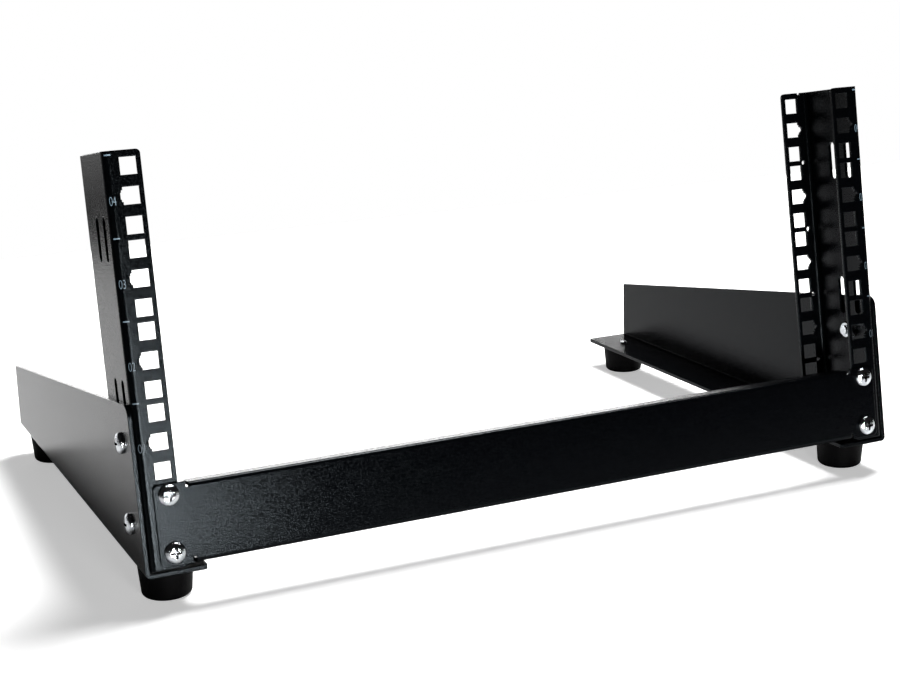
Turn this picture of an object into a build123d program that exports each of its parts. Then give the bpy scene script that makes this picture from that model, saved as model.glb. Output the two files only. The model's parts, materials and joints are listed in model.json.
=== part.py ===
from build123d import *
import os
from math import cos, hypot, sin, tan, radians

os.makedirs("parts", exist_ok=True)

# Rack pattern. Heights count up the posts from the bottom of the lowest rack unit of the bay.
rack_unit = 44.45
bay_units = 4
units_below_bay = 1
first_hole_height = 6.35
hole_step = 15.875
holes_per_unit = 3
hole_side = 9.5
hole_spacing_across = 465.1
notch_radius = 1.9
notch_reach = 2.5
notch_shoulder_height = 6.2
notch_shoulder_reach = 0.8

# Posts: channels of sheet steel, open towards each other and leaning back.
lean_angle = 9.0
post_sheet = 2.0
post_outer_bend = 4.0
post_depth = 56.0
hole_to_post_side = 13.45
hole_to_free_edge = 7.1
post_top_margin = 2.2
post_corner_radius = 2.5
flange_hole_to_front = 1.0

# Slots in the side of each post
slot_length = 24.5
slot_width = 5.8
front_slot_depth = 12.5
rear_slot_depth = 28.5
lowest_slot_unit = 1
slot_unit_step = 2

# Small marking holes in the rear flanges
marking_hole_diameter = 3.0
marking_hole_inset = 6.4

# Base arms: angles of sheet steel with a level foot flange
arm_sheet = 2.5
arm_outer_bend = 3.0
arm_length = 332.0
arm_front_height = 95.7
arm_flange_width = 35.0
arm_corner_radius = 6.3
flange_corner_radius = 2.0
base_drop = 51.8
post_foot_gap = 1.4

# Crossbar: channel of sheet steel with a flat tab at each end
bar_sheet = 2.0
bar_outer_bend = 2.5
hole_to_tab_edge = 7.45
post_to_return_gap = 5.45
bar_top = -0.85
bar_bottom = -46.4
bar_return_drop = 0.95
bar_return_depth = 12.0
bar_corner_radius = 3.0
bar_return_corner_radius = 2.0
bar_relief_width = 1.6
bar_relief_end_diameter = 2.4

# Screws and nuts
screw_diameter = 6.0
screw_clearance = 0.5
thread_clearance = 0.1
screw_head_diameter = 12.0
front_head_height = 3.7
side_head_height = 3.5
front_screw_length = 14.0
side_screw_length = 11.5
head_side_height = 0.9
recess_length = 6.4
recess_width = 1.5
recess_core = 2.6
recess_depth = 1.8
recess_taper = 9.0
bar_screw_inset = 0.8
bar_screw_drop = 0.7
nut_across_flats = 10.0
nut_height = 4.4
nut_crown_inset = 0.3
nut_washer_thickness = 0.9
front_nut_washer_diameter = 12.5
side_nut_washer_diameter = 11.6
side_screw_depth = 21.0
side_screw_upper = 21.7
side_screw_lower = -23.5

# Feet: tapered rubber buffers, each held by one screw from below
foot_height = 19.5
foot_top_diameter = 31.4
foot_floor_diameter = 28.2
foot_edge_rounding = 3.0
foot_to_arm_face = 17.5
foot_end_inset = 25.0
foot_recess_diameter = 12.0
foot_recess_depth = 9.0
foot_screw_diameter = 5.0
foot_screw_head_diameter = 9.4
foot_screw_head_height = 3.2
foot_screw_tip = 0.8

# Values that follow from the sizes above
lean = radians(lean_angle)
hole_across = hole_spacing_across / 2
post_face = hole_across + hole_to_post_side
free_edge = hole_across - hole_to_free_edge
front_face = -flange_hole_to_front
rear_face = front_face + post_depth
post_top = bay_units * rack_unit + post_top_margin
arm_face = post_face + arm_sheet
bar_face = front_face - bar_sheet
bar_half_width = hole_across + hole_to_tab_edge
bar_return_top = bar_top - bar_return_drop
bar_screw_across = hole_across - bar_screw_inset
bar_bent_half_width = free_edge - post_to_return_gap
foot_across = arm_face - foot_to_arm_face
lean_up = Vector(0, sin(lean), cos(lean))
lean_back = Vector(0, cos(lean), -sin(lean))
posts_start = Vector(0, base_drop * sin(lean), foot_height + base_drop * cos(lean))


def plane_across(height):
    """Plane square to the posts at a height up them."""
    return Plane(origin=posts_start + lean_up * height, x_dir=(1, 0, 0), z_dir=lean_up)


def plane_facing(depth):
    """Plane that faces the front of the rack at a depth behind the front hole line."""
    return Plane(origin=posts_start + lean_back * depth, x_dir=(1, 0, 0), z_dir=-lean_back)


def plane_sideways(distance):
    """Plane that faces the right of the rack, with depth and height as its two directions."""
    return Plane(origin=posts_start + Vector(distance, 0, 0), x_dir=lean_back, z_dir=(1, 0, 0))


def hole_heights():
    """Heights of every square hole, from the units below the bay to its top."""
    for unit in range(-units_below_bay, bay_units):
        for step in range(holes_per_unit):
            yield step, unit * rack_unit + first_hole_height + step * hole_step


def make_left_upright():
    """Channel with square holes through both flanges and slots in its side."""
    with BuildPart() as upright:
        with BuildSketch(plane_across(-base_drop)):
            with BuildLine():
                outside = FilletPolyline(
                    (-free_edge, front_face),
                    (-post_face, front_face),
                    (-post_face, rear_face),
                    (-free_edge, rear_face),
                    radius=post_outer_bend,
                )
                offset(outside, amount=post_sheet, side=Side.RIGHT)
            make_face()
        extrude(amount=base_drop + post_top)
        split(bisect_by=Plane.XY.offset(foot_height + arm_sheet + post_foot_gap), keep=Keep.TOP)
        top_corners = upright.edges().filter_by(Axis(posts_start, lean_back)).group_by(Axis.X)[-1]
        fillet(top_corners, radius=post_corner_radius)
        cut_square_holes()
        cut_marking_holes()
        cut_side_slots()
        with BuildSketch(plane_sideways(-post_face)):
            with Locations((side_screw_depth, side_screw_upper), (side_screw_depth, side_screw_lower)):
                Circle((screw_diameter + screw_clearance) / 2)
        extrude(amount=post_sheet, mode=Mode.SUBTRACT)
    return upright


def cut_square_holes():
    """Square holes through the front and rear flanges, the middle one of each unit notched."""
    hole_edge = -hole_across - hole_side / 2
    with BuildSketch(plane_facing(front_face)) as holes:
        for step, height in hole_heights():
            with Locations((-hole_across, height)):
                Rectangle(hole_side, hole_side)
            if step == holes_per_unit // 2:
                with Locations((hole_edge, height)):
                    Rectangle(2 * notch_shoulder_reach, notch_shoulder_height)
                with Locations((hole_edge - notch_reach + notch_radius, height)):
                    Circle(notch_radius)
    extrude(holes.sketch, amount=-post_depth, mode=Mode.SUBTRACT)


def cut_marking_holes():
    """Small holes, and a half-round at the top, that mark the rack units on the rear flange."""
    with BuildSketch(plane_facing(rear_face)) as holes:
        for unit in range(bay_units):
            with Locations((-hole_across - marking_hole_inset, unit * rack_unit)):
                Circle(marking_hole_diameter / 2)
        with Locations((-hole_across - marking_hole_inset, post_top)):
            Circle(marking_hole_diameter / 2)
    extrude(holes.sketch, amount=post_sheet, mode=Mode.SUBTRACT)


def cut_side_slots():
    """Pairs of upright slots in the side of the post."""
    with BuildSketch(plane_sideways(-post_face)) as slots:
        for unit in range(lowest_slot_unit, bay_units, slot_unit_step):
            with Locations((front_slot_depth, unit * rack_unit), (rear_slot_depth, unit * rack_unit)):
                SlotOverall(slot_length, slot_width, rotation=90)
    extrude(slots.sketch, amount=post_sheet, mode=Mode.SUBTRACT)


def make_left_arm():
    """Angle whose foot flange lies level while its top edge is square to the posts."""
    front_top = Vector(0, arm_front_height * sin(lean), foot_height + arm_front_height * cos(lean))
    rear_top_height = front_top.Z - (arm_length - front_top.Y) * tan(lean)
    with BuildPart() as arm:
        with BuildSketch(Plane.XZ):
            with BuildLine():
                outside = FilletPolyline(
                    (-arm_face, front_top.Z),
                    (-arm_face, foot_height),
                    (-arm_face + arm_flange_width, foot_height),
                    radius=arm_outer_bend,
                )
                offset(outside, amount=arm_sheet, side=Side.LEFT)
            make_face()
        extrude(amount=-arm_length)
        with BuildSketch(Plane.YZ.offset(-arm_face)) as side_outline:
            Polygon(
                (0, foot_height),
                (arm_length, foot_height),
                (arm_length, rear_top_height),
                (front_top.Y, front_top.Z),
                align=None,
            )
            fillet(side_outline.vertices().sort_by(Axis.Y)[-1], radius=arm_corner_radius)
        extrude(amount=arm_flange_width, mode=Mode.INTERSECT)
        with BuildSketch(Plane.XY.offset(foot_height)) as floor_plan:
            with Locations((-arm_face, 0)):
                Rectangle(arm_flange_width, arm_length, align=(Align.MIN, Align.MIN))
            fillet(floor_plan.vertices().group_by(Axis.X)[-1], radius=flange_corner_radius)
        extrude(amount=front_top.Z, mode=Mode.INTERSECT)
        with BuildSketch(plane_sideways(-arm_face)):
            with Locations((side_screw_depth, side_screw_upper), (side_screw_depth, side_screw_lower)):
                Circle((screw_diameter + screw_clearance) / 2)
        extrude(amount=arm_sheet, mode=Mode.SUBTRACT)
        with BuildSketch(Plane.XY.offset(foot_height)):
            with Locations((-foot_across, foot_end_inset), (-foot_across, arm_length - foot_end_inset)):
                Circle((foot_screw_diameter + thread_clearance) / 2)
        extrude(amount=arm_sheet, mode=Mode.SUBTRACT)
    return arm


def make_crossbar():
    """Channel bent back along its top and bottom edges, with flat tabs that lie on the posts."""
    bar_height = bar_top - bar_bottom
    bar_middle = (bar_top + bar_bottom) / 2
    return_end = bar_face + bar_return_depth
    with BuildPart() as bar:
        with BuildSketch(plane_sideways(-bar_bent_half_width)):
            with BuildLine():
                outside = FilletPolyline(
                    (return_end, bar_return_top),
                    (bar_face, bar_return_top),
                    (bar_face, bar_bottom),
                    (return_end, bar_bottom),
                    radius=bar_outer_bend,
                )
                offset(outside, amount=bar_sheet, side=Side.LEFT)
            make_face()
        extrude(amount=2 * bar_bent_half_width)
        return_corners = bar.edges().filter_by(Axis(posts_start, lean_up))
        return_corners = return_corners.group_by(Axis(posts_start, lean_back))[-1]
        fillet(return_corners, radius=bar_return_corner_radius)
        with BuildSketch(plane_facing(bar_face)) as plate:
            with Locations((0, bar_middle)):
                Rectangle(2 * bar_half_width, bar_height)
                fillet(plate.vertices(), radius=bar_corner_radius)
            with Locations((0, bar_top)):
                Rectangle(2 * bar_bent_half_width, 2 * (bar_return_drop + bar_outer_bend), mode=Mode.SUBTRACT)
            with Locations((0, bar_bottom)):
                Rectangle(2 * bar_bent_half_width, 2 * bar_outer_bend, mode=Mode.SUBTRACT)
        extrude(amount=-bar_sheet)
        with BuildSketch(plane_facing(bar_face)):
            relief_spread = 2 * bar_bent_half_width + bar_relief_width
            with Locations((0, bar_middle)):
                with GridLocations(relief_spread, bar_height, 2, 2):
                    Rectangle(bar_relief_width, 2 * bar_outer_bend)
                with GridLocations(relief_spread, bar_height - 2 * bar_outer_bend, 2, 2):
                    Circle(bar_relief_end_diameter / 2)
            for height in bar_screw_heights():
                with Locations((-bar_screw_across, height), (bar_screw_across, height)):
                    Circle((screw_diameter + screw_clearance) / 2)
        extrude(amount=-bar_sheet, mode=Mode.SUBTRACT)
    return bar


def bar_screw_heights():
    """The crossbar's screws hang a little low in the top and bottom holes of the unit below the bay."""
    lowest = first_hole_height - rack_unit - bar_screw_drop
    return (lowest + (holes_per_unit - 1) * hole_step, lowest)


def make_pan_screw(seat, diameter, length, head_diameter, head_height):
    """Domed pan-head screw with a cross recess. The seat's normal points out of the head."""
    section = Plane(origin=seat.origin, x_dir=seat.x_dir, z_dir=seat.x_dir.cross(seat.z_dir))
    crown_height = head_height - head_side_height
    with BuildPart() as screw:
        with BuildSketch(section):
            with BuildLine():
                Polyline(
                    (0, head_height),
                    (0, -length),
                    (diameter / 2, -length),
                    (diameter / 2, 0),
                    (head_diameter / 2, 0),
                    (head_diameter / 2, head_side_height),
                )
                EllipticalCenterArc((0, head_side_height), head_diameter / 2, crown_height)
            make_face()
        revolve(axis=Axis(seat.origin, seat.z_dir))
        with BuildSketch(seat.offset(head_height)):
            Rectangle(recess_length, recess_width)
            Rectangle(recess_width, recess_length)
            Rectangle(recess_core, recess_core, rotation=45)
        extrude(amount=-recess_depth, taper=recess_taper, mode=Mode.SUBTRACT)
    return screw


def make_nut(seat, washer_diameter):
    """Round-cornered hexagon nut on a fixed washer. The seat's normal points away from the sheet."""
    with BuildPart() as nut:
        with BuildSketch(seat.offset(nut_washer_thickness)):
            RegularPolygon(nut_across_flats / 2, 6, major_radius=False)
        extrude(amount=nut_height)
        with Locations(seat.offset(nut_washer_thickness)):
            Sphere(hypot(nut_across_flats / 2 - nut_crown_inset, nut_height), mode=Mode.INTERSECT)
        with BuildSketch(seat):
            Circle(washer_diameter / 2)
        extrude(amount=nut_washer_thickness)
        with BuildSketch(seat):
            Circle((screw_diameter + thread_clearance) / 2)
        extrude(amount=nut_washer_thickness + nut_height, mode=Mode.SUBTRACT)
    return nut


def make_foot(across, along):
    """Tapered rubber buffer with a recess in its floor face for the screw head."""
    with BuildPart() as foot:
        with BuildSketch(Plane.XZ) as half_section:
            Polygon(
                (0, 0),
                (foot_floor_diameter / 2, 0),
                (foot_top_diameter / 2, foot_height),
                (0, foot_height),
                align=None,
            )
            floor_edge = half_section.vertices().group_by(Axis.Y)[0].sort_by(Axis.X)[-1]
            fillet(floor_edge, radius=foot_edge_rounding)
        revolve(axis=Axis.Z)
        with BuildSketch(Plane.XY):
            Circle(foot_recess_diameter / 2)
        extrude(amount=foot_recess_depth, mode=Mode.SUBTRACT)
        with BuildSketch(Plane.XY):
            Circle((foot_screw_diameter + thread_clearance) / 2)
        extrude(amount=foot_height, mode=Mode.SUBTRACT)
    with BuildPart() as placed_foot:
        with Locations((across, along, 0)):
            add(foot.part)
    return placed_foot


def make_foot_screw(across, along):
    """Screw that enters the foot from below and ends in the arm's flange."""
    seat = Plane(origin=(across, along, foot_recess_depth), x_dir=(1, 0, 0), z_dir=(0, 0, -1))
    length = foot_height - foot_recess_depth + arm_sheet + foot_screw_tip
    return make_pan_screw(
        seat, foot_screw_diameter, length, foot_screw_head_diameter, foot_screw_head_height
    )


def mirrored(piece):
    """The right-hand twin of a left-hand piece."""
    with BuildPart() as twin:
        mirror(piece.part, about=Plane.YZ)
    return twin


def add_fasteners(pieces):
    """Screws and nuts of the crossbar and of the base arms, by height and side."""
    side_heights = (side_screw_upper, side_screw_lower)
    for place, bar_height, side_height in zip(("upper", "lower"), bar_screw_heights(), side_heights):
        for side, sign in (("left", -1), ("right", 1)):
            front_seat = plane_facing(bar_face)
            front_seat.origin += Vector(sign * bar_screw_across, 0, 0) + lean_up * bar_height
            pieces[f"{side}_{place}_crossbar_screw"] = make_pan_screw(
                front_seat, screw_diameter, front_screw_length, screw_head_diameter, front_head_height
            )
            front_nut_seat = Plane(
                origin=front_seat.origin + lean_back * (bar_sheet + post_sheet),
                x_dir=(1, 0, 0),
                z_dir=lean_back,
            )
            pieces[f"{side}_{place}_crossbar_nut"] = make_nut(front_nut_seat, front_nut_washer_diameter)
            outward = Vector(sign, 0, 0)
            screw_line = posts_start + lean_back * side_screw_depth + lean_up * side_height
            side_seat = Plane(origin=screw_line + outward * arm_face, x_dir=lean_up, z_dir=outward)
            pieces[f"{side}_{place}_arm_screw"] = make_pan_screw(
                side_seat, screw_diameter, side_screw_length, screw_head_diameter, side_head_height
            )
            side_nut_seat = Plane(
                origin=screw_line + outward * (post_face - post_sheet), x_dir=lean_up, z_dir=-outward
            )
            pieces[f"{side}_{place}_arm_nut"] = make_nut(side_nut_seat, side_nut_washer_diameter)


def add_feet(pieces):
    """A foot and its screw near both ends of both arms."""
    for end, along in (("front", foot_end_inset), ("rear", arm_length - foot_end_inset)):
        for side, sign in (("left", -1), ("right", 1)):
            pieces[f"{end}_{side}_foot"] = make_foot(sign * foot_across, along)
            pieces[f"{end}_{side}_foot_screw"] = make_foot_screw(sign * foot_across, along)


def make_pieces():
    """Every piece of the rack, with the arms' front corners still at depth zero."""
    pieces = {}
    pieces["left_upright"] = make_left_upright()
    pieces["right_upright"] = mirrored(pieces["left_upright"])
    pieces["left_base_arm"] = make_left_arm()
    pieces["right_base_arm"] = mirrored(pieces["left_base_arm"])
    pieces["front_crossbar"] = make_crossbar()
    add_fasteners(pieces)
    add_feet(pieces)
    return pieces


def depth_to_centre(pieces):
    """How far the whole rack moves so that its bounding box is centred in depth."""
    boxes = [piece.part.bounding_box() for piece in pieces.values()]
    return -(min(box.min.Y for box in boxes) + max(box.max.Y for box in boxes)) / 2


def export_pieces(pieces):
    """Centre the rack over its floor area and write one file for each piece."""
    centring = depth_to_centre(pieces)
    for label, piece in pieces.items():
        with BuildPart() as placed:
            with Locations((0, centring, 0)):
                add(piece.part)
        placed.part.label = label
        export_step(placed.part, f"parts/{label}.step")
    return centring


rack_pieces = make_pieces()
centring_shift = export_pieces(rack_pieces)
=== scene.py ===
import json
import math
import bpy
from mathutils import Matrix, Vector


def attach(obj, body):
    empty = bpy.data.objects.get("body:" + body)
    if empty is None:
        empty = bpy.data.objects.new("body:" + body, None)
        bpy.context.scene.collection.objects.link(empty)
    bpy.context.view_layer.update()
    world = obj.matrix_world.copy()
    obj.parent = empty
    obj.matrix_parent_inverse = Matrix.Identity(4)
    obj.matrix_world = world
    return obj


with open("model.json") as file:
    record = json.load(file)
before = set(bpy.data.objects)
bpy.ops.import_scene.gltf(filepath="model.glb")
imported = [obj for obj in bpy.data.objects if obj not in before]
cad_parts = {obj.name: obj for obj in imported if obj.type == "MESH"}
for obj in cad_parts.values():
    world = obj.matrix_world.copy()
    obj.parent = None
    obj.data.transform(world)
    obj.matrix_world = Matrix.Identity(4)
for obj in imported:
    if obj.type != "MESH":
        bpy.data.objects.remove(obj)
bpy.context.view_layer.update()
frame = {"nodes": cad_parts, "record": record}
nodes = frame["nodes"]

# Where the rack's pattern lies, in metres. Heights count up the leaning posts.
MM = 0.001
LEAN = math.radians(9.0)
BASE_DROP = 51.8 * MM
FOOT_HEIGHT = 19.5 * MM
REAR_SHIFT = -163.641 * MM
RACK_UNIT = 44.45 * MM
FLANGE_FRONT = -1.0 * MM
FLAT_REACH = 242.0 * MM
OUTER_BEND = 4.0 * MM
UP = Vector((0.0, math.sin(LEAN), math.cos(LEAN)))
BACK = Vector((0.0, math.cos(LEAN), -math.sin(LEAN)))
ACROSS = Vector((1.0, 0.0, 0.0))
POSTS_START = Vector((0.0, REAR_SHIFT, FOOT_HEIGHT)) + UP * BASE_DROP

# Printed marks on the front flanges. Letters are drawn at any size and then fitted to the pair's sides.
UNIT_NAMES = ("01", "02", "03", "04")
INK_THICKNESS = 0.04 * MM
INK_LIFT = 0.02 * MM
DIGIT_HEIGHT = 4.8 * MM
DIGIT_PAIR_WIDTH = 3.4 * MM
DIGITS_ACROSS = 243.0 * MM
DIGITS_ABOVE_UNIT = 20.0 * MM
LETTER_SIZE = 1.0
LETTER_DEPTH = 0.5
LETTER_STEPS = 4
STROKE_CHANGE = -0.014
DASH_LENGTH = 3.2 * MM
DASH_WIDTH = 0.75 * MM
DASH_ACROSS = 243.2 * MM
DASH_STEPS = 8

# Camera, from the photograph: place in metres, turn in degrees, lens and sensor in millimetres
CAMERA_PLACE = (-461.3 * MM, -1033.731 * MM, 369.3 * MM)
CAMERA_TURN = (75.985, 1.730, -25.009)
CAMERA_LENS = 69.35
SENSOR_WIDTH = 36.0
NEAREST_SEEN = 0.01
FARTHEST_SEEN = 100.0

# Powder coat
EDGE_ROUNDING = 0.8 * MM
SHADING_SAMPLES = 8
PEEL_SCALE = 1600.0
PEEL_SMOOTHNESS = 0.4
PEEL_STRENGTH = 0.6
PEEL_DEPTH = 0.11 * MM
PAINT_GRAIN_SCALE = 1050.0
PAINT_DARK = (0.0003, 0.0004, 0.0006, 1.0)
PAINT_LIGHT = (0.0010, 0.0012, 0.0015, 1.0)
PAINT_ROUGHNESS = (0.06, 0.23)
PAINT_GRAIN_SPREAD = (0.40, 0.60)
PAINT_SPECULAR = 0.06
PAINT_SPECULAR_TINT = (0.80, 0.92, 1.0, 1.0)

# Zinc plate. Painted shade: hollows up to the reach are painted darker, over the spread of openness.
CLOUD_SCALE = 420.0
MARKS_SCALE = 1300.0
MARKS_STRENGTH = 0.8
MARKS_DEPTH = 0.3 * MM
ZINC_DARK = (0.34, 0.36, 0.38, 1.0)
ZINC_LIGHT = (0.60, 0.62, 0.64, 1.0)
ZINC_ROUGHNESS = (0.049, 0.105)
PAINTED_SHADE_REACH = 2.0 * MM
PAINTED_SHADE_TONE = 0.006
PAINTED_SHADE_SPREAD = (0.60, 0.95)

# Rubber
RUBBER_GRAIN_SCALE = 1500.0
RUBBER_STRENGTH = 0.25
RUBBER_DEPTH = 0.3 * MM
RUBBER_DARK = (0.0003, 0.0003, 0.0004, 1.0)
RUBBER_LIGHT = (0.0010, 0.0010, 0.0012, 1.0)
RUBBER_ROUGHNESS = (0.5, 0.68)
RUBBER_SPECULAR = 0.04

# Printing ink, which fades between two heights above the floor
FADE_HEIGHTS = (0.07, 0.25)
INK_LOW = (0.030, 0.040, 0.048, 1.0)
INK_HIGH = (0.17, 0.25, 0.31, 1.0)
INK_PATCH_SCALE = 1800.0
INK_PATCH_TONES = (0.75, 1.0)
INK_ROUGHNESS = (0.45, 0.6)

# Floor paper: left, right, front and back edges in metres, then its look
FLOOR_REACH = (-0.75, 1.6, -0.45, 0.9)
FIBRE_SCALE = 14.0
PAPER_TONES = (0.90, 0.93)
PAPER_ROUGHNESS = (0.85, 0.95)
PAPER_SPECULAR = 0.2
PAPER_GLOW = 0.45

# Room: dark, with a glow towards the back at the height of the horizon, set by direction
ROOM_TONE = 0.015
ROOM_GLOW = 0.7
GLOW_BACKWARD = (0.3, 0.8)
GLOW_LOWER_EDGE = (-0.16, -0.12)
GLOW_UPPER_EDGE = (0.16, 0.02)

# Each light: its place, the point it faces, its two sides in metres and its power in watts
LIGHTS = {
    "over": ((0.58, 0.4, 1.7), (0.2, 0.3, 0.0), (0.8, 0.8), 72.0),
    "behind": ((0.6, 3.2, 0.25), (0.0, 0.0, 0.1), (5.0, 0.5), 40.0),
    "front": ((-0.16, -1.45, 0.0), (-0.23, -0.16, 0.05), (0.28, 0.32), 32.0),
}


def grey(value):
    return (value, value, value, 1.0)


def new_material(name):
    material = bpy.data.materials.new(name)
    material.use_nodes = True
    tree = material.node_tree
    tree.nodes.clear()
    shader = tree.nodes.new("ShaderNodeBsdfPrincipled")
    output = tree.nodes.new("ShaderNodeOutputMaterial")
    tree.links.new(shader.outputs["BSDF"], output.inputs["Surface"])
    return material, tree, shader


def place_on_piece(tree):
    return tree.nodes.new("ShaderNodeTexCoord").outputs["Object"]


def noise(tree, scale, detail, roughness=0.6):
    node = tree.nodes.new("ShaderNodeTexNoise")
    node.inputs["Scale"].default_value = scale
    node.inputs["Detail"].default_value = detail
    node.inputs["Roughness"].default_value = roughness
    tree.links.new(place_on_piece(tree), node.inputs["Vector"])
    return node.outputs["Fac"]


def cells(tree, scale, smoothness):
    """Small rounded grains, like the skin of an orange."""
    node = tree.nodes.new("ShaderNodeTexVoronoi")
    node.feature = "SMOOTH_F1"
    node.inputs["Scale"].default_value = scale
    node.inputs["Smoothness"].default_value = smoothness
    tree.links.new(place_on_piece(tree), node.inputs["Vector"])
    return node.outputs["Distance"]


def ramp(tree, source, low, high, spread=(0.3, 0.7)):
    """Colour that runs from low to high while the source crosses the spread."""
    node = tree.nodes.new("ShaderNodeValToRGB")
    for element, position, colour in zip(node.color_ramp.elements, spread, (low, high)):
        element.position = position
        element.color = colour
    tree.links.new(source, node.inputs["Fac"])
    return node.outputs["Color"]


def grey_ramp(tree, source, tones, spread=(0.3, 0.7)):
    low, high = tones
    return ramp(tree, source, grey(low), grey(high), spread)


def ranged(tree, source, limits):
    """Nought at the first limit, one at the second."""
    node = tree.nodes.new("ShaderNodeMapRange")
    node.inputs["From Min"].default_value, node.inputs["From Max"].default_value = limits
    tree.links.new(source, node.inputs["Value"])
    return node.outputs["Result"]


def product(tree, first, second):
    node = tree.nodes.new("ShaderNodeMath")
    node.operation = "MULTIPLY"
    tree.links.new(first, node.inputs[0])
    tree.links.new(second, node.inputs[1])
    return node.outputs["Value"]


def scaled(tree, source, factor):
    node = tree.nodes.new("ShaderNodeMath")
    node.operation = "MULTIPLY"
    tree.links.new(source, node.inputs[0])
    node.inputs[1].default_value = factor
    return node.outputs["Value"]


def bump(tree, source, strength, depth, under=None):
    """Fine relief, on top of the normal under it if there is one."""
    node = tree.nodes.new("ShaderNodeBump")
    node.inputs["Strength"].default_value = strength
    node.inputs["Distance"].default_value = depth
    tree.links.new(source, node.inputs["Height"])
    if under is not None:
        tree.links.new(under, node.inputs["Normal"])
    return node.outputs["Normal"]


def darkened(tree, first, second):
    """One colour times another."""
    node = tree.nodes.new("ShaderNodeMix")
    node.data_type = "RGBA"
    node.blend_type = "MULTIPLY"
    node.inputs["Factor"].default_value = 1.0
    tree.links.new(first, next(i for i in node.inputs if i.identifier == "A_Color"))
    tree.links.new(second, next(i for i in node.inputs if i.identifier == "B_Color"))
    return next(o for o in node.outputs if o.identifier == "Result_Color")


def powder_coat():
    """Black powder coat: softly rounded edges, fine orange peel and a gloss that changes with the grain."""
    material, tree, shader = new_material("black_powder_coat")
    edges = tree.nodes.new("ShaderNodeBevel")
    edges.samples = SHADING_SAMPLES
    edges.inputs["Radius"].default_value = EDGE_ROUNDING
    peel = cells(tree, PEEL_SCALE, PEEL_SMOOTHNESS)
    skin = bump(tree, peel, PEEL_STRENGTH, PEEL_DEPTH, edges.outputs["Normal"])
    tree.links.new(skin, shader.inputs["Normal"])
    grain = noise(tree, PAINT_GRAIN_SCALE, 2.0)
    tree.links.new(ramp(tree, grain, PAINT_DARK, PAINT_LIGHT), shader.inputs["Base Color"])
    gloss = grey_ramp(tree, grain, PAINT_ROUGHNESS, PAINT_GRAIN_SPREAD)
    tree.links.new(gloss, shader.inputs["Roughness"])
    shader.inputs["Specular IOR Level"].default_value = PAINT_SPECULAR
    shader.inputs["Specular Tint"].default_value = PAINT_SPECULAR_TINT
    return material


def zinc():
    """Bright zinc plate with faint cloudiness, tool marks and painted shade in its hollows."""
    material, tree, shader = new_material("zinc_fasteners")
    cloud = noise(tree, CLOUD_SCALE, 3.0)
    plate = ramp(tree, cloud, ZINC_DARK, ZINC_LIGHT)
    # Painted shade: ambient occlusion darkens the plate's colour in the screw recesses.
    hollows = tree.nodes.new("ShaderNodeAmbientOcclusion")
    hollows.samples = SHADING_SAMPLES
    hollows.only_local = True
    hollows.inputs["Distance"].default_value = PAINTED_SHADE_REACH
    openness = grey_ramp(tree, hollows.outputs["AO"], (PAINTED_SHADE_TONE, 1.0), PAINTED_SHADE_SPREAD)
    tree.links.new(darkened(tree, plate, openness), shader.inputs["Base Color"])
    tree.links.new(grey_ramp(tree, cloud, ZINC_ROUGHNESS), shader.inputs["Roughness"])
    wear = bump(tree, noise(tree, MARKS_SCALE, 2.0), MARKS_STRENGTH, MARKS_DEPTH)
    tree.links.new(wear, shader.inputs["Normal"])
    shader.inputs["Metallic"].default_value = 1.0
    return material


def rubber():
    """Black moulded rubber, matt with a fine grain."""
    material, tree, shader = new_material("rubber")
    grain = noise(tree, RUBBER_GRAIN_SCALE, 3.0)
    tree.links.new(ramp(tree, grain, RUBBER_DARK, RUBBER_LIGHT), shader.inputs["Base Color"])
    tree.links.new(grey_ramp(tree, grain, RUBBER_ROUGHNESS), shader.inputs["Roughness"])
    tree.links.new(bump(tree, grain, RUBBER_STRENGTH, RUBBER_DEPTH), shader.inputs["Normal"])
    shader.inputs["Specular IOR Level"].default_value = RUBBER_SPECULAR
    return material


def ink():
    """Pale blue-grey printing ink, uneven, and darker towards the bottom of the posts."""
    material, tree, shader = new_material("marking_ink")
    split = tree.nodes.new("ShaderNodeSeparateXYZ")
    tree.links.new(place_on_piece(tree), split.inputs["Vector"])
    height_share = ranged(tree, split.outputs["Z"], FADE_HEIGHTS)
    fade = ramp(tree, height_share, INK_LOW, INK_HIGH, (0.0, 1.0))
    patches = noise(tree, INK_PATCH_SCALE, 2.0, 0.5)
    uneven = grey_ramp(tree, patches, INK_PATCH_TONES)
    tree.links.new(darkened(tree, fade, uneven), shader.inputs["Base Color"])
    tree.links.new(grey_ramp(tree, patches, INK_ROUGHNESS), shader.inputs["Roughness"])
    return material


def floor_paper():
    """Near-white studio paper, with a faint glow that keeps the shadows pale in the picture."""
    material, tree, shader = new_material("floor_paper")
    fibres = noise(tree, FIBRE_SCALE, 4.0)
    tree.links.new(grey_ramp(tree, fibres, PAPER_TONES), shader.inputs["Base Color"])
    tree.links.new(grey_ramp(tree, fibres, PAPER_ROUGHNESS), shader.inputs["Roughness"])
    shader.inputs["Specular IOR Level"].default_value = PAPER_SPECULAR
    path = tree.nodes.new("ShaderNodeLightPath")
    glow = scaled(tree, path.outputs["Is Camera Ray"], PAPER_GLOW)
    shader.inputs["Emission Color"].default_value = grey(1.0)
    tree.links.new(glow, shader.inputs["Emission Strength"])
    return material


def paint_nodes():
    """Give every CAD piece its material, by the record's slots."""
    materials = {
        "black_powder_coat": powder_coat(),
        "zinc_fasteners": zinc(),
        "rubber": rubber(),
    }
    for row in frame["record"]["subparts"]:
        mesh = nodes[row["node"]].data
        mesh.materials.clear()
        mesh.materials.append(materials[row["material_slot"]])


def on_flange(across, height, lift):
    """Point on the front face of a post's flange, or on the bend beside it, lifted off the sheet."""
    past_flat = max(0.0, abs(across) - FLAT_REACH)
    turned = math.asin(min(1.0, past_flat / OUTER_BEND))
    out = (OUTER_BEND + lift) * math.sin(turned) - past_flat
    depth = FLANGE_FRONT + OUTER_BEND - (OUTER_BEND + lift) * math.cos(turned)
    return POSTS_START + ACROSS * (across + math.copysign(out, across)) + UP * height + BACK * depth


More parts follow.
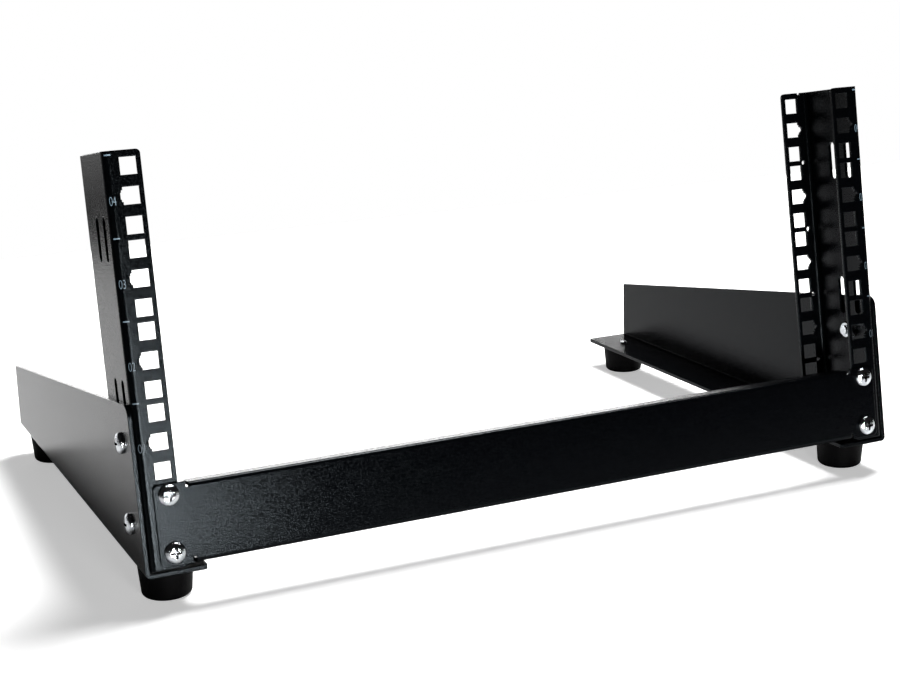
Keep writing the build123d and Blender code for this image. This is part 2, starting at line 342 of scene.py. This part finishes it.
def add_piece(name, mesh):
    piece = bpy.data.objects.new(name, mesh)
    bpy.context.collection.objects.link(piece)
    return piece


def add_mark(name, mesh, material):
    mesh.materials.clear()
    mesh.materials.append(material)
    mark = add_piece(name, mesh)
    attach(mark, "root")


def add_dash(name, across, height, material):
    """A short printed line where two rack units meet, which follows the flange and its bend."""
    corners = []
    for step in range(DASH_STEPS + 1):
        place = across + (step / DASH_STEPS - 0.5) * DASH_LENGTH
        for lift in (INK_LIFT, INK_LIFT + INK_THICKNESS):
            for level in (-0.5, 0.5):
                corners.append(on_flange(place, height + level * DASH_WIDTH, lift))
    # A section has four corners, two on the sheet and two above them. The faces go round it in order.
    around = (0, 1, 3, 2)
    section = len(around)
    faces = [(0, 2, 3, 1)]
    for start in range(0, section * DASH_STEPS, section):
        for a, b in zip(around, around[1:] + around[:1]):
            faces.append((start + a, start + b, start + section + b, start + section + a))
    faces.append(tuple(section * DASH_STEPS + corner for corner in around))
    mesh = bpy.data.meshes.new(name)
    mesh.from_pydata([tuple(corner) for corner in corners], [], faces)
    mesh.update()
    add_mark(name, mesh, material)


def add_digits(name, words, across, height, material):
    """A printed rack unit number, drawn narrow to fit beside the holes."""
    curve = bpy.data.curves.new(name + "_curve", "FONT")
    curve.body = words
    curve.size = LETTER_SIZE
    curve.extrude = LETTER_DEPTH
    curve.resolution_u = LETTER_STEPS
    curve.offset = STROKE_CHANGE
    letters = add_piece(name + "_curve", curve)
    bpy.context.view_layer.update()
    mesh = bpy.data.meshes.new_from_object(letters.evaluated_get(bpy.context.evaluated_depsgraph_get()))
    bpy.data.objects.remove(letters)
    low = [min(v.co[i] for v in mesh.vertices) for i in range(3)]
    high = [max(v.co[i] for v in mesh.vertices) for i in range(3)]
    for v in mesh.vertices:
        share = [(v.co[i] - low[i]) / (high[i] - low[i]) for i in range(3)]
        v.co = on_flange(
            across + (share[0] - 0.5) * DIGIT_PAIR_WIDTH,
            height + (share[1] - 0.5) * DIGIT_HEIGHT,
            INK_LIFT + share[2] * INK_THICKNESS,
        )
    mesh.name = name
    add_mark(name, mesh, material)


def add_printed_marks():
    material = ink()
    for side, sign in (("left", -1), ("right", 1)):
        for unit, words in enumerate(UNIT_NAMES):
            height = unit * RACK_UNIT + DIGITS_ABOVE_UNIT
            add_digits(f"{side}_unit_number_{words}", words, sign * DIGITS_ACROSS, height, material)
            add_dash(f"{side}_unit_line_{words}", sign * DASH_ACROSS, (unit + 1) * RACK_UNIT, material)


def add_floor():
    """A sheet of paper that ends a little way in front of the rack, as on a studio table."""
    left, right, front, back = FLOOR_REACH
    corners = [(left, front, 0), (right, front, 0), (right, back, 0), (left, back, 0)]
    mesh = bpy.data.meshes.new("floor")
    mesh.from_pydata(corners, [], [(0, 1, 2, 3)])
    mesh.materials.append(floor_paper())
    floor = add_piece("floor", mesh)


def add_world():
    """A dark room with a low glow at the back, in front of a plain white backdrop."""
    world = bpy.data.worlds.new("studio")
    world.use_nodes = True
    tree = world.node_tree
    tree.nodes.clear()
    place = tree.nodes.new("ShaderNodeTexCoord")
    split = tree.nodes.new("ShaderNodeSeparateXYZ")
    tree.links.new(place.outputs["Generated"], split.inputs["Vector"])
    backward = ranged(tree, split.outputs["Y"], GLOW_BACKWARD)
    lower_edge = ranged(tree, split.outputs["Z"], GLOW_LOWER_EDGE)
    upper_edge = ranged(tree, split.outputs["Z"], GLOW_UPPER_EDGE)
    glow = product(tree, backward, product(tree, lower_edge, upper_edge))
    room = tree.nodes.new("ShaderNodeBackground")
    tree.links.new(grey_ramp(tree, glow, (ROOM_TONE, ROOM_GLOW), (0.0, 1.0)), room.inputs["Color"])
    backdrop = tree.nodes.new("ShaderNodeBackground")
    backdrop.inputs["Color"].default_value = grey(1.0)
    path = tree.nodes.new("ShaderNodeLightPath")
    mix = tree.nodes.new("ShaderNodeMixShader")
    tree.links.new(path.outputs["Is Camera Ray"], mix.inputs["Fac"])
    tree.links.new(room.outputs["Background"], mix.inputs[1])
    tree.links.new(backdrop.outputs["Background"], mix.inputs[2])
    output = tree.nodes.new("ShaderNodeOutputWorld")
    tree.links.new(mix.outputs["Shader"], output.inputs["Surface"])
    bpy.context.scene.world = world


def add_lights():
    """A large soft light over the back right, a low strip behind and a small soft light in front."""
    for name, (place, aim, size, power) in LIGHTS.items():
        data = bpy.data.lights.new(name, "AREA")
        data.shape = "RECTANGLE"
        data.size, data.size_y = size
        data.energy = power
        light = add_piece(name, data)
        light.location = place
        light.rotation_euler = (Vector(aim) - Vector(place)).to_track_quat("-Z", "Y").to_euler()


def add_camera():
    data = bpy.data.cameras.new("camera")
    data.sensor_fit = "HORIZONTAL"
    data.sensor_width = SENSOR_WIDTH
    data.lens = CAMERA_LENS
    data.clip_start = NEAREST_SEEN
    data.clip_end = FARTHEST_SEEN
    camera = add_piece("camera", data)
    camera.location = CAMERA_PLACE
    camera.rotation_euler = [math.radians(angle) for angle in CAMERA_TURN]
    bpy.context.scene.camera = camera
    bpy.context.scene.view_settings.view_transform = "Standard"


paint_nodes()
add_printed_marks()
add_floor()
add_world()
add_lights()
add_camera()
